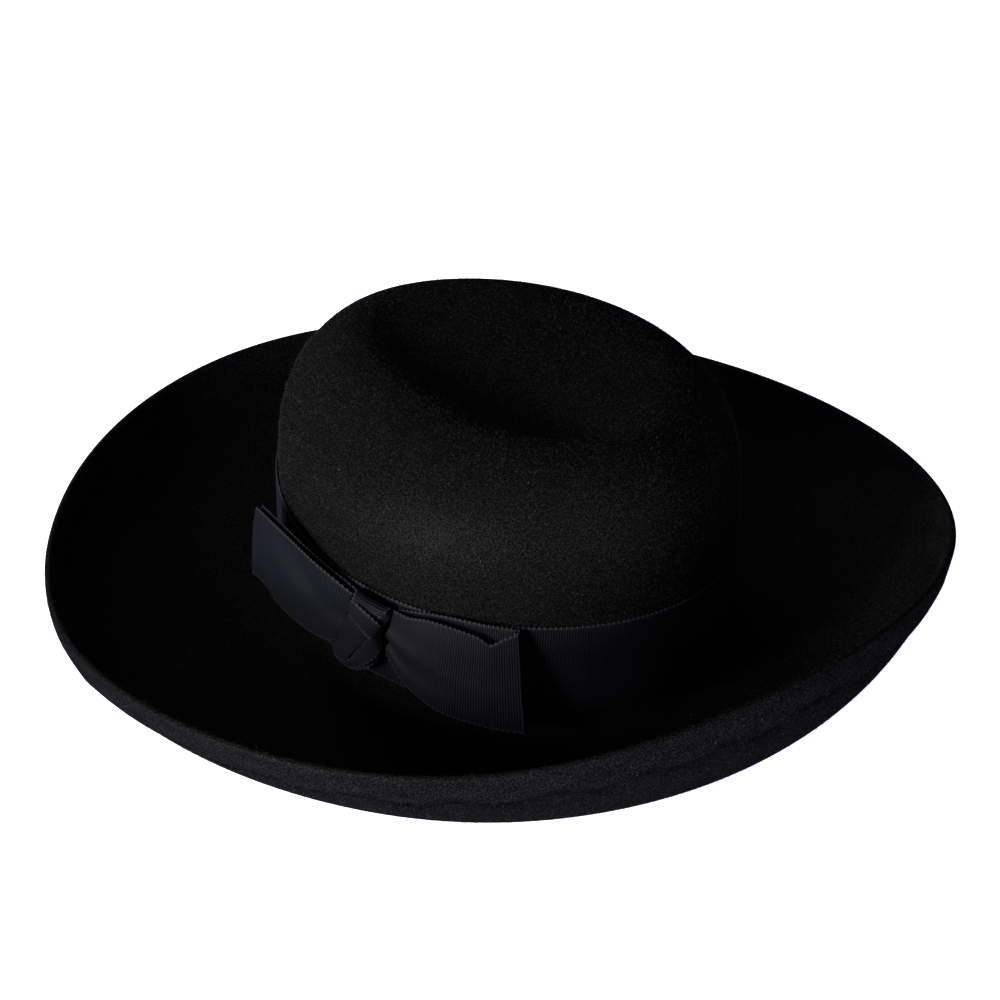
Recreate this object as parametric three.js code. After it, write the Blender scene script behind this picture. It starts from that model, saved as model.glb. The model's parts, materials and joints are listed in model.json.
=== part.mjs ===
import * as THREE from 'three';

// Wide-brim hat of black wool felt, with a grosgrain ribbon band and a flat tied bow.
// Millimetres and degrees. The front of the hat is -Y, the wearer's right is -X and up is +Z.
// A direction goes round the hat: 0 is the wearer's left, 90 the back, 180 the wearer's right, 270 the front.
// The hat rests on a narrow flat ring of its brim at height 0. The origin is in the middle of its footprint,
// a little off the middle of the crown's oval, which the shapes below are measured from.

// Middle of the crown's oval, from the middle of the footprint
const CROWN_X = 6.3;
const CROWN_Y = -7.7;

// Felt
const FELT = 2.1;
const DIRECTIONS = 64;
const CROWN_GIRTH = 592;
const OVAL_RATIO = 1.18;
const OVAL_THIRD = [0.002, -0.01];
const OVAL_FOURTH = [0.005, 0.007];
const CROWN_LEAN = 0.056;
const FILLET = 10;
const SEAT_END = 16;
const RIM_THICKNESS = 3.7;
const RIM_LIFT = 0.4;
const WELT = 12;
const WELT_STEP = 0.7;
const SHOULDER_POWER = 0.96;
const SLOPE_START = 1.3;
const SLOPE_END = 1.7;

// Outside of the crown's wall: height above the brim, and girth as a share of CROWN_GIRTH
const WALL = [
  { height: 10, girth: 0.988 },
  { height: 24, girth: 0.991 },
  { height: 38, girth: 0.995 },
  { height: 52, girth: 0.999 },
  { height: 62, girth: 0.998 },
  { height: 71.2, girth: 0.995 },
];

// Ridge round the dent in the crown's top: how far in from the wall, and how high
const RIDGE = [
  { direction: 0, inset: 30, height: 108.5 },
  { direction: 45, inset: 28, height: 108.5 },
  { direction: 90, inset: 26, height: 107.4 },
  { direction: 135, inset: 35, height: 107.8 },
  { direction: 180, inset: 45, height: 108.8 },
  { direction: 225, inset: 38, height: 109.4 },
  { direction: 270, inset: 29, height: 109.2 },
  { direction: 315, inset: 28, height: 108.8 },
];

// Floor of the dent: a narrow valley near the bow's side, rising to the back. Its other side is wide and gentle.
const DENT = { x: -17, y: 5, halfWidth: 5, halfLength: 41, height: 99.5, dip: 0.6, riseToBack: 3 };

// Brim beyond its flat seat: width along the felt, slope at the edge, and how late it turns up
const BRIM = [
  { direction: 0, width: 81, edgeSlope: 80.8, lateness: 1.91 },
  { direction: 45, width: 79, edgeSlope: 83.5, lateness: 2.51 },
  { direction: 90, width: 86, edgeSlope: 87.2, lateness: 2.62 },
  { direction: 135, width: 89.5, edgeSlope: 101, lateness: 3.85 },
  { direction: 180, width: 97.5, edgeSlope: 82.5, lateness: 1.97 },
  { direction: 225, width: 96.5, edgeSlope: 81.3, lateness: 1.26 },
  { direction: 270, width: 94.5, edgeSlope: 99.3, lateness: 1.16 },
  { direction: 315, width: 93, edgeSlope: 74.4, lateness: 1.18 },
];

// Ribbon band round the foot of the crown. It sits higher on the bow's side and at the back.
const RIBBON = 1;
const RIBBON_GAP = 0.3;
const BAND = { bottom: 14.4, width: 37.8, riseToRight: 3.6, riseToBack: 1.6 };

// Bow loops: a row for each place along the ribbon. Skew turns the lower edge further round than the upper.
// Heights are above the brim, and topOut and bottomOut are how far each edge stands off the felt.
const LOOP_FRONT_OUTER = [
  { direction: 202.4, skew: -1.5, top: 50.8, topOut: 4.5, bottom: 33.5, bottomOut: 6.2, belly: 0.5 },
  { direction: 206, skew: -1.2, top: 53.6, topOut: 5.8, bottom: 27.2, bottomOut: 8.5, belly: 1 },
  { direction: 210, skew: -0.6, top: 55, topOut: 6.3, bottom: 23, bottomOut: 10.8, belly: 1.4 },
  { direction: 215, skew: 0, top: 54.2, topOut: 6.3, bottom: 20, bottomOut: 13.4, belly: 1.2 },
  { direction: 221, skew: 0.7, top: 52, topOut: 6.6, bottom: 18.6, bottomOut: 15, belly: 0.8 },
  { direction: 224, skew: 1.2, top: 49.6, topOut: 7.6, bottom: 17.8, bottomOut: 15.8, belly: 0.4 },
  { direction: 227, skew: 1.8, top: 51.8, topOut: 6.2, bottom: 17.3, bottomOut: 16.6, belly: 0.2 },
  { direction: 229.8, skew: 2.3, top: 53.4, topOut: 5, bottom: 17.2, bottomOut: 17.4, belly: 0 },
];
const LOOP_FRONT_INNER = [
  { direction: 229.6, skew: 2.3, top: 53.6, topOut: 2.9, bottom: 17.2, bottomOut: 15.1, belly: 0 },
  { direction: 222, skew: 0.8, top: 54.8, topOut: 2.6, bottom: 17.4, bottomOut: 8.8, belly: 0 },
  { direction: 213, skew: 0, top: 55.6, topOut: 2.4, bottom: 19.4, bottomOut: 4.6, belly: 0 },
  { direction: 202.5, skew: -1.5, top: 53, topOut: 2.4, bottom: 33, bottomOut: 3, belly: 0 },
];
const LOOP_BACK_OUTER = [
  { direction: 192, skew: -3.4, top: 54.2, topOut: 6.2, bottom: 31, bottomOut: 6.8, belly: 0.6 },
  { direction: 185, skew: -0.4, top: 57.4, topOut: 7.2, bottom: 27.3, bottomOut: 8, belly: 1.4 },
  { direction: 177, skew: 0, top: 59.8, topOut: 8.6, bottom: 25.6, bottomOut: 9.2, belly: 2 },
  { direction: 168.5, skew: 0, top: 61, topOut: 10.2, bottom: 27, bottomOut: 11.8, belly: 2 },
  { direction: 163, skew: 0, top: 60.4, topOut: 11.3, bottom: 29.4, bottomOut: 12.8, belly: 1.4 },
  { direction: 157, skew: 0, top: 58.8, topOut: 12.6, bottom: 29, bottomOut: 15, belly: 0.5 },
];
const LOOP_BACK_INNER = [
  { direction: 157.7, skew: 0, top: 59.4, topOut: 10.1, bottom: 29, bottomOut: 12.4, belly: 0.3 },
  { direction: 169, skew: 0, top: 60.8, topOut: 7.4, bottom: 24, bottomOut: 7.6, belly: 0 },
  { direction: 180, skew: 0, top: 58.2, topOut: 4.8, bottom: 23, bottomOut: 4.6, belly: 0 },
  { direction: 192, skew: -3.4, top: 54.6, topOut: 3.6, bottom: 32, bottomOut: 3.6, belly: 0 },
];

// Knot: a row for each height, from one side to the other and from the band outwards
const KNOT = [
  { height: 57, from: 195.4, to: 201.2, near: 2.2, far: 4.6 },
  { height: 55, from: 194, to: 201.8, near: 1.7, far: 7.4 },
  { height: 50, from: 192, to: 201.4, near: 1.6, far: 9.6 },
  { height: 44, from: 190.8, to: 200.2, near: 1.6, far: 10.6 },
  { height: 39.4, from: 190, to: 199.6, near: 1.8, far: 10 },
];

// Tuck below the knot: the ribbon's end goes down, folds at the bottom and comes back up behind
const TUCK = [
  { height: 38.8, from: 190, to: 199.2, out: 9.4 },
  { height: 35, from: 189.2, to: 199.2, out: 11 },
  { height: 30, from: 188.8, to: 198.8, out: 12 },
  { height: 26.4, from: 189.8, to: 198, out: 11.6 },
  { height: 24.6, from: 190.4, to: 197.6, out: 9.4 },
  { height: 26.4, from: 190, to: 198, out: 6.8 },
  { height: 31, from: 189.4, to: 198.4, out: 5.2 },
  { height: 38.8, from: 190, to: 199, out: 4.6 },
];

const FELT_BLACK = new THREE.MeshStandardMaterial({ color: 0x141315, roughness: 0.95, metalness: 0 });
const RIBBON_BLACK = new THREE.MeshStandardMaterial({ color: 0x14161f, roughness: 0.6, metalness: 0 });

const radians = (degrees) => (degrees * Math.PI) / 180;

// A smooth closed curve through one column of a table whose rows are evenly spaced round the hat
function around(table, column) {
  const values = table.map((row) => row[column]);
  const count = values.length;
  const at = (list, i) => list[(i + count) % count];
  const bends = values.map(() => 0);
  for (let pass = 0; pass < 40; pass++) {
    for (let i = 0; i < count; i++) {
      const turn = at(values, i - 1) - 2 * values[i] + at(values, i + 1);
      bends[i] = (6 * turn - at(bends, i - 1) - at(bends, i + 1)) / 4;
    }
  }
  return (direction) => {
    const place = ((((direction % 360) + 360) % 360) / 360) * count;
    const i = Math.floor(place);
    const after = place - i;
    const before = 1 - after;
    const straight = before * at(values, i) + after * at(values, i + 1);
    const curve = (before ** 3 - before) * at(bends, i) + (after ** 3 - after) * at(bends, i + 1);
    return straight + curve / 6;
  };
}

const ridgeInset = around(RIDGE, 'inset');
const ridgeHeight = around(RIDGE, 'height');
const brimWidth = around(BRIM, 'width');
const brimSlope = around(BRIM, 'edgeSlope');
const brimLateness = around(BRIM, 'lateness');

// The head oval with a width of 2, slightly egg-shaped
function unitOval(direction) {
  const t = radians(direction);
  const third = OVAL_THIRD[0] * Math.cos(3 * t) + OVAL_THIRD[1] * Math.sin(3 * t);
  const fourth = OVAL_FOURTH[0] * Math.cos(4 * t) + OVAL_FOURTH[1] * Math.sin(4 * t);
  const radius = 1 + third + fourth;
  return new THREE.Vector2(radius * Math.cos(t), OVAL_RATIO * radius * Math.sin(t));
}

function unitGirth() {
  let girth = 0;
  for (let degree = 0; degree < 360; degree++) {
    girth += unitOval(degree).distanceTo(unitOval(degree + 1));
  }
  return girth;
}
const OVAL_SCALE = CROWN_GIRTH / unitGirth();

// A point at a distance outside the oval of a given girth, level with the ground
function ovalPoint(direction, girth, out, height) {
  const point = unitOval(direction).multiplyScalar(OVAL_SCALE * girth);
  const along = unitOval(direction + 0.05).sub(unitOval(direction - 0.05)).normalize();
  return new THREE.Vector3(point.x + along.y * out, point.y - along.x * out, height);
}

function wallGirth(height) {
  const level = THREE.MathUtils.clamp(height, WALL[0].height, WALL[WALL.length - 1].height);
  const upper = WALL.findIndex((row, i) => i > 0 && level <= row.height);
  const below = WALL[upper - 1];
  const above = WALL[upper];
  const share = (level - below.height) / (above.height - below.height);
  return THREE.MathUtils.lerp(below.girth, above.girth, share);
}

// A point at a distance outside the crown's outer face. The crown leans towards the wearer's left.
function offWall(direction, height, out) {
  const point = ovalPoint(direction, wallGirth(height), out, height + FELT / 2);
  point.x += CROWN_LEAN * height;
  return point;
}

// A point of the dent's floor, a share of the way out from its middle
function floorPoint(direction, share) {
  const t = radians(direction);
  const x = DENT.x + CROWN_LEAN * DENT.height + share * DENT.halfWidth * Math.cos(t);
  const y = DENT.y + share * DENT.halfLength * Math.sin(t);
  const height = DENT.height - DENT.dip * (1 - share) + DENT.riseToBack * share * Math.sin(t);
  return new THREE.Vector3(x, y, height);
}

// A point of the dent's side, a share of the way from its floor up to the ridge
function slopePoint(direction, share) {
  const floor = floorPoint(direction, 1);
  const ridge = shoulderPoint(direction, 90);
  const point = floor.clone().lerp(ridge, share);
  point.z = THREE.MathUtils.lerp(floor.z, ridge.z, 1 - (1 - share ** SLOPE_START) ** SLOPE_END);
  return point;
}

// The shoulder rounds over from the wall's top to the ridge
function shoulderPoint(direction, angle) {
  const wallTop = WALL[WALL.length - 1].height;
  const across = 1 - Math.cos(radians(angle)) ** SHOULDER_POWER;
  const up = Math.sin(radians(angle)) ** SHOULDER_POWER;
  const inset = (ridgeInset(direction) - FELT / 2) * across + FELT / 2;
  const height = wallTop + (ridgeHeight(direction) - FELT / 2 - wallTop) * up;
  return offWall(direction, height, -inset);
}

function filletPoint(direction, angle) {
  const out = FILLET * (1 - Math.cos(radians(angle))) - FELT / 2;
  const height = FILLET * (1 - Math.sin(radians(angle)));
  return offWall(direction, height, out);
}

// The brim's slope grows along its width, slowly at first and then faster
function brimPoint(direction, share) {
  const width = brimWidth(direction);
  const steps = 40;
  let out = SEAT_END;
  let height = 0;
  for (let i = 0; i < steps; i++) {
    const place = (share * (i + 0.5)) / steps;
    const slope = radians(brimSlope(direction)) * place ** brimLateness(direction);
    out += (Math.cos(slope) * share * width) / steps;
    height += (Math.sin(slope) * share * width) / steps;
  }
  return ovalPoint(direction, WALL[0].girth, out, height + FELT / 2);
}

// The felt's middle surface: a row for each ring, from the dent's floor to the brim's edge.
// over and under are how far the two faces lie from it; a missing one leaves that face's ring out.
// The two seat rings bound the flat ring that the hat rests on.
function feltRows() {
  const rows = [];
  const half = FELT / 2;
  const add = (point, over = half, under = half, seat = false) => rows.push({ point, over, under, seat });
  add((direction) => floorPoint(direction, 0.5));
  add((direction) => floorPoint(direction, 1), half, null);
  for (const share of [0.2, 0.4, 0.6, 0.8]) {
    const under = share === 0.4 || share === 0.8 ? half : null;
    add((direction) => slopePoint(direction, share), half, under);
  }
  for (const angle of [90, 75, 60, 45, 30, 15]) {
    const under = angle % 30 === 0 ? half : null;
    add((direction) => shoulderPoint(direction, angle), half, under);
  }
  for (const row of [...WALL].reverse()) {
    add((direction) => offWall(direction, row.height, -half));
  }
  for (const angle of [30, 60, 90]) {
    add((direction) => filletPoint(direction, angle), half, half, angle === 90);
  }
  for (const share of [0, 0.1, 0.2, 0.3, 0.41, 0.52, 0.63, 0.74]) {
    add((direction) => brimPoint(direction, share), half, half, share === 0);
  }
  const fromEdge = (distance) => (direction) => brimPoint(direction, 1 - distance / brimWidth(direction));
  const weltUnder = RIM_THICKNESS - RIM_LIFT - half;
  add(fromEdge(WELT + WELT_STEP), null, half);
  add(fromEdge(WELT), half, weltUnder);
  add(fromEdge(WELT / 2), half + RIM_LIFT / 2, weltUnder);
  add(fromEdge(0), half + RIM_LIFT, weltUnder);
  return rows;
}

// Directions that point out of the upper face of a grid of middle points
function gridNormals(grid, closed) {
  return grid.map((row, j) => row.map((point, i) => {
    const count = row.length;
    const beside = (k) => (closed ? row[(k + count) % count] : row[THREE.MathUtils.clamp(k, 0, count - 1)]);
    const next = grid[Math.min(j + 1, grid.length - 1)][i];
    const last = grid[Math.max(j - 1, 0)][i];
    const down = new THREE.Vector3().subVectors(next, last);
    const along = new THREE.Vector3().subVectors(beside(i + 1), beside(i - 1));
    return down.cross(along).normalize();
  }));
}

function geometryFrom(vertices, triangles) {
  const geometry = new THREE.BufferGeometry();
  geometry.setAttribute('position', new THREE.Float32BufferAttribute(vertices.flatMap((v) => v.toArray()), 3));
  geometry.setIndex(triangles.flat());
  geometry.computeVertexNormals();
  return geometry;
}

// Joins closed rings of points in turn. A ring of one point closes an end; otherwise the last meets the first.
function joinRings(rings) {
  const vertices = rings.flat();
  const triangles = [];
  const starts = [];
  let start = 0;
  for (const ring of rings) {
    starts.push(start);
    start += ring.length;
  }
  const capped = rings[0].length === 1;
  const pairs = capped ? rings.length - 1 : rings.length;
  for (let j = 0; j < pairs; j++) {
    const k = (j + 1) % rings.length;
    const count = Math.max(rings[j].length, rings[k].length);
    const vertex = (ring, i) => starts[ring] + (i % rings[ring].length);
    for (let i = 0; i < count; i++) {
      if (rings[k].length > 1) {
        triangles.push([vertex(j, i), vertex(k, i), vertex(k, i + 1)]);
      }
      if (rings[j].length > 1) {
        triangles.push([vertex(j, i), vertex(k, i + 1), vertex(j, i + 1)]);
      }
    }
  }
  return geometryFrom(vertices, triangles);
}

function feltGeometry() {
  const rows = feltRows();
  const directions = Array.from({ length: DIRECTIONS }, (_, i) => (360 * i) / DIRECTIONS);
  const grid = rows.map((row) => directions.map((direction) => row.point(direction)));
  const normals = gridNormals(grid, true);
  const face = (j, side, offset) => grid[j].map((point, i) => {
    const moved = point.clone().addScaledVector(normals[j][i], side * offset);
    moved.z = side < 0 && rows[j].seat ? 0 : Math.max(moved.z, 0);
    return moved;
  });
  const middle = new THREE.Vector3();
  grid[0].forEach((point) => middle.addScaledVector(point, 1 / DIRECTIONS));
  middle.z -= DENT.dip / 4;
  const upper = [[middle.clone().setZ(middle.z + FELT / 2)]];
  const lower = [[middle.clone().setZ(middle.z - FELT / 2)]];
  rows.forEach((row, j) => {
    if (row.over !== null) {
      upper.push(face(j, 1, row.over));
    }
    if (row.under !== null) {
      lower.push(face(j, -1, row.under));
    }
  });
  return joinRings([...upper, ...rimRings(rows, grid, normals), ...lower.reverse()]);
}

// Rings that round the brim's edge, between its upper and its under face
function rimRings(rows, grid, normals) {
  const last = rows.length - 1;
  const radius = (rows[last].over + rows[last].under) / 2;
  const shift = (rows[last].over - rows[last].under) / 2;
  return [45, 90, 135].map((angle) => grid[last].map((point, i) => {
    const outward = new THREE.Vector3().subVectors(point, grid[last - 1][i]).normalize();
    const across = shift + radius * Math.cos(radians(angle));
    const away = radius * Math.sin(radians(angle));
    return point.clone().addScaledVector(normals[last][i], across).addScaledVector(outward, away);
  }));
}

function bandBottom(direction) {
  const t = radians(direction);
  return BAND.bottom - BAND.riseToRight * Math.cos(t) + BAND.riseToBack * Math.sin(t);
}

function bandGeometry() {
  const rings = [];
  const ring = (share, out) => Array.from({ length: DIRECTIONS }, (_, i) => {
    const direction = (360 * i) / DIRECTIONS;
    return offWall(direction, bandBottom(direction) + share * BAND.width, out);
  });
  for (const share of [1, 2 / 3, 1 / 3, 0]) {
    rings.push(ring(share, RIBBON_GAP + RIBBON));
  }
  for (const share of [0, 1 / 3, 2 / 3, 1]) {
    rings.push(ring(share, RIBBON_GAP));
  }
  return joinRings(rings);
}

// A wall of ribbon round an open grid of middle points
function sheetGeometry(grid) {
  const normals = gridNormals(grid, false);
  const rings = grid.map((row, j) => {
    const over = row.map((point, i) => point.clone().addScaledVector(normals[j][i], RIBBON / 2));
    const under = row.map((point, i) => point.clone().addScaledVector(normals[j][i], -RIBBON / 2));
    return [...over, ...under.reverse()];
  });
  const middle = (ring) => {
    const sum = new THREE.Vector3();
    ring.forEach((point) => sum.addScaledVector(point, 1 / ring.length));
    return [sum];
  };
  return joinRings([middle(rings[0]), ...rings, middle(rings[rings.length - 1])]);
}

// Middle points across the ribbon at one place of a loop, bulging by its belly
function acrossRibbon(row) {
  return [0, 1 / 3, 2 / 3, 1].map((share) => {
    const bulge = row.belly * Math.sin(Math.PI * share);
    const out = THREE.MathUtils.lerp(row.topOut, row.bottomOut, share) + bulge;
    return offWall(row.direction + share * row.skew, THREE.MathUtils.lerp(row.top, row.bottom, share), out);
  });
}

// A loop runs out along its outer layer, round a fold, and back along its inner layer
function loopGeometry(outerLayer, innerLayer, foldTurn) {
  const before = acrossRibbon(outerLayer[outerLayer.length - 1]);
  const after = acrossRibbon(innerLayer[0]);
  const fold = [35, 90, 145].map((angle) => before.map((point, k) => {
    const share = (1 - Math.cos(radians(angle))) / 2;
    const radius = point.distanceTo(after[k]) / 2;
    const across = new THREE.Vector3().subVectors(after[k], point);
    const away = new THREE.Vector3(-across.y, across.x, 0).normalize().multiplyScalar(foldTurn);
    return point.clone().lerp(after[k], share).addScaledVector(away, radius * Math.sin(radians(angle)));
  }));
  const grid = [...outerLayer.map(acrossRibbon), ...fold, ...innerLayer.map(acrossRibbon)];
  return sheetGeometry(foldTurn > 0 ? grid : grid.map((row) => [...row].reverse()));
}

// A rounded section of the knot at one height
function knotRing(row) {
  const sides = 12;
  const power = 0.7;
  const round = (value) => Math.sign(value) * Math.abs(value) ** power;
  return Array.from({ length: sides }, (_, i) => {
    const angle = (2 * Math.PI * i) / sides;
    const direction = (row.from + row.to) / 2 + ((row.to - row.from) / 2) * round(Math.cos(angle));
    const out = (row.near + row.far) / 2 + ((row.far - row.near) / 2) * round(Math.sin(angle));
    return offWall(direction, row.height, out);
  });
}

function knotGeometry() {
  const rings = KNOT.map(knotRing).map((ring) => [...ring].reverse());
  const centre = (row) => [offWall((row.from + row.to) / 2, row.height, (row.near + row.far) / 2)];
  return joinRings([centre(KNOT[0]), ...rings, centre(KNOT[KNOT.length - 1])]);
}

function tuckGeometry() {
  const shares = [0, 1 / 3, 2 / 3, 1];
  const place = (row, share) => THREE.MathUtils.lerp(row.to, row.from, share);
  return sheetGeometry(TUCK.map((row) => shares.map((share) => offWall(place(row, share), row.height, row.out))));
}

const hat = new THREE.Group();
hat.position.set(CROWN_X, CROWN_Y, 0);

function addPart(name, geometry, material) {
  const mesh = new THREE.Mesh(geometry, material);
  mesh.name = name;
  hat.add(mesh);
}

addPart('felt_body', feltGeometry(), FELT_BLACK);
addPart('hat_band', bandGeometry(), RIBBON_BLACK);
addPart('bow_loop_front', loopGeometry(LOOP_FRONT_OUTER, LOOP_FRONT_INNER, 1), RIBBON_BLACK);
addPart('bow_loop_back', loopGeometry(LOOP_BACK_OUTER, LOOP_BACK_INNER, -1), RIBBON_BLACK);
addPart('bow_knot', knotGeometry(), RIBBON_BLACK);
addPart('bow_tuck', tuckGeometry(), RIBBON_BLACK);

export default hat;
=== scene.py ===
import bisect
import json
import math
import random

import bpy
from mathutils import Matrix, Vector

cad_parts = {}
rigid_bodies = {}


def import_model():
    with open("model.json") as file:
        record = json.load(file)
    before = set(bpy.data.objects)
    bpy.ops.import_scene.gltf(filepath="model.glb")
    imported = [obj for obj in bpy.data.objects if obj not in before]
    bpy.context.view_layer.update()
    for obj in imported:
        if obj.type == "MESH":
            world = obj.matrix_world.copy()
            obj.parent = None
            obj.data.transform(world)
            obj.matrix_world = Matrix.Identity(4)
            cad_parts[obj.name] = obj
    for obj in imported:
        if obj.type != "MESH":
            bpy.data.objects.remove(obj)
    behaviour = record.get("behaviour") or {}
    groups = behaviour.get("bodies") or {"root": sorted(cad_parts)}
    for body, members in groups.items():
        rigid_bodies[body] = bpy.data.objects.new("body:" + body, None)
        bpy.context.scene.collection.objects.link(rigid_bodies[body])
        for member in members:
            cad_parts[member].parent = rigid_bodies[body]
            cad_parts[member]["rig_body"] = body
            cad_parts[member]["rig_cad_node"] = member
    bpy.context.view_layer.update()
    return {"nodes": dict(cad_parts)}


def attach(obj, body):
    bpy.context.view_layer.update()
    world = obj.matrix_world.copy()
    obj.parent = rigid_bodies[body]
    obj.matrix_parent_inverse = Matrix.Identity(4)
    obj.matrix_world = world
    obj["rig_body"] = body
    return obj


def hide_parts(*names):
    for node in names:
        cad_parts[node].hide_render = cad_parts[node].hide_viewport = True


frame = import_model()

# Wide-brim hat of black wool felt with a grosgrain ribbon and a flat tied bow.
# Shapes are worked out in millimetres and made in metres. A direction goes round the crown: 0 is the wearer's
# left, 90 the back, 180 the wearer's right, where the bow is, and 270 the front.
MM = 0.001

# Middle of the crown's oval, from the middle of the footprint
CROWN_MIDDLE = Vector((6.3, -7.7, 0))

# The crown's wall, which the ribbon follows: an oval that leans to the left, with a list of heights and
# shares of its girth. Its direction at a place is taken over a nudge to each side.
FELT_THICKNESS = 2.1
CROWN_GIRTH = 592
OVAL_RATIO = 1.18
OVAL_THIRD = (0.002, -0.01)
OVAL_FOURTH = (0.005, 0.007)
CROWN_LEAN = 0.056
WALL = [(10, 0.988), (24, 0.991), (38, 0.995), (52, 0.999), (62, 0.998), (71.2, 0.995)]
WALL_NUDGE = 0.05

# Grosgrain ribbon: cords across it, and two cords to each small loop (picot) along its thinner woven edges
# (selvedges). Sharpness is how quickly the colour falls off from the tops of the cords into the painted shade
# of the valleys between them, and how quickly the painted highlight falls off from the tops of the picots.
RIBBON_WIDTH = 37.8
RIBBON_CORE = 0.42
CORD_PITCH = 1.0
CORD_RISE = 0.2
CORD_SHADE_SHARPNESS = 2
COLUMNS_PER_CORD = 4
CORDS_PER_PICOT = 2
PICOT_REACH = 0.42
# Painted highlight along the woven edges: its level between picots, and how quickly it falls off from a
# picot's top
PICOT_HIGHLIGHT_BASE = 0.2
PICOT_HIGHLIGHT_SHARPNESS = 3
SELVEDGE_WIDTH = 0.8
SELVEDGE_THINNING = 0.35
EDGE_INSETS = (0, 0.35, SELVEDGE_WIDTH, 1.7)
ROW_SPACING = 3.2

# Steps that a curve is measured in between two of its points, how far before its end the last place lies, and
# the least length that is divided by
CURVE_STEPS = 24
CURVE_END = 1e-6
NO_LENGTH = 1e-9

# Ribbon round the foot of the crown: it lies a little higher towards the wearer's right and the back
BAND = {"bottom": 14.4, "rise_to_right": 3.6, "rise_to_back": 1.6, "out": 0.68}
BAND_STEP = 3

# Bow loops: a row for each place along the ribbon. Skew turns the lower edge further round than the upper.
# Heights are above the brim, and the outs are how far each edge stands off the felt.
LOOP_WIDTH = 36
LOOP_COLUMNS = ("direction", "skew", "top", "top_out", "bottom", "bottom_out", "belly")
FRONT_OUTER = [
    (202.1, -1.3, 53.4, 4.5, 33.5, 6.2, 0.5),
    (206, -1.2, 53.6, 5.8, 27.2, 8.5, 1),
    (210, -0.6, 55, 6.3, 23, 10.8, 1.4),
    (215, 0, 54.2, 6.3, 20, 13.4, 1.2),
    (221, 0.7, 52, 6.6, 18.6, 15, 0.8),
    (224, 1.2, 49.6, 7.6, 17.8, 15.8, 0.4),
    (227, 1.8, 51.8, 6.2, 17.3, 16.6, 0.2),
    (229.8, 2.3, 53.4, 5, 17.2, 17.4, 0),
]
FRONT_INNER = [
    (229.6, 2.3, 53.6, 2.9, 17.2, 15.1, 0),
    (222, 0.8, 54.8, 2.6, 17.4, 8.8, 0),
    (213, 0, 55.6, 2.4, 19.4, 4.6, 0),
    (202.5, -1.5, 53, 2.4, 33, 3, 0),
]
BACK_OUTER = [
    (192, -3.4, 54.2, 6.2, 31, 6.8, 0.6),
    (185, -0.4, 57.4, 7.2, 27.3, 8, 1.4),
    (177, 0, 59.8, 8.6, 25.6, 9.2, 2),
    (168.5, 0, 61, 10.2, 27, 11.8, 2),
    (163, 0, 60.4, 11.3, 29.4, 12.8, 1.4),
    (157, 0, 58.8, 12.6, 29, 15, 0.5),
]
BACK_INNER = [
    (157.7, 0, 59.4, 10.1, 29, 12.4, 0.3),
    (169, 0, 60.8, 7.4, 24, 7.6, 0),
    (180, 0, 58.2, 4.8, 23, 4.6, 0),
    (192, -3.4, 54.6, 3.6, 32, 3.6, 0),
]
FOLD_ANGLES = (30, 60, 90, 120, 150)

# Knot and the tuck below it: strips of ribbon over each other. A row is one place along a strip, with its two
# edges: direction, height and how far it stands off the felt.
STRIP_COLUMNS = ("left", "left_height", "left_out", "right", "right_height", "right_out")
KNOT_STRIPS = {
    "wrap": [
        (192.0, 54.2, 3.2, 200.6, 52.4, 2.6),
        (192.9, 56.7, 5.6, 201.2, 54.2, 4.6),
        (193.4, 56.2, 7.8, 201.0, 53.5, 7.0),
        (193.3, 54.0, 8.8, 199.8, 50.6, 8.6),
        (192.5, 50.0, 8.6, 197.9, 45.8, 8.4),
    ],
    "pleat": [
        (200.0, 52.4, 3.0, 201.4, 50.9, 2.6),
        (200.6, 54.0, 5.0, 201.6, 51.9, 4.0),
        (200.3, 53.0, 7.4, 201.5, 50.3, 6.0),
        (199.1, 49.9, 7.9, 200.3, 47.0, 6.6),
        (197.7, 46.0, 7.4, 199.0, 43.5, 6.2),
    ],
    "cross": [
        (192.5, 52.4, 7.6, 191.1, 46.8, 7.2),
        (194.5, 54.2, 9.8, 193.0, 47.3, 9.6),
        (197.1, 53.2, 10.6, 195.1, 46.0, 10.6),
        (199.2, 51.2, 10.4, 196.8, 43.9, 10.6),
        (200.4, 48.6, 9.4, 197.9, 41.4, 9.6),
        (200.1, 44.6, 6.6, 198.0, 38.7, 7.2),
    ],
    "lining": [
        (192.4, 54.6, 3.8, 200.6, 52.6, 3.4),
        (192.0, 50.0, 5.6, 200.2, 48.0, 5.2),
        (191.4, 45.0, 6.2, 199.6, 43.0, 6.0),
        (191.2, 39.8, 5.8, 198.8, 38.4, 5.4),
    ],
}
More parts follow.
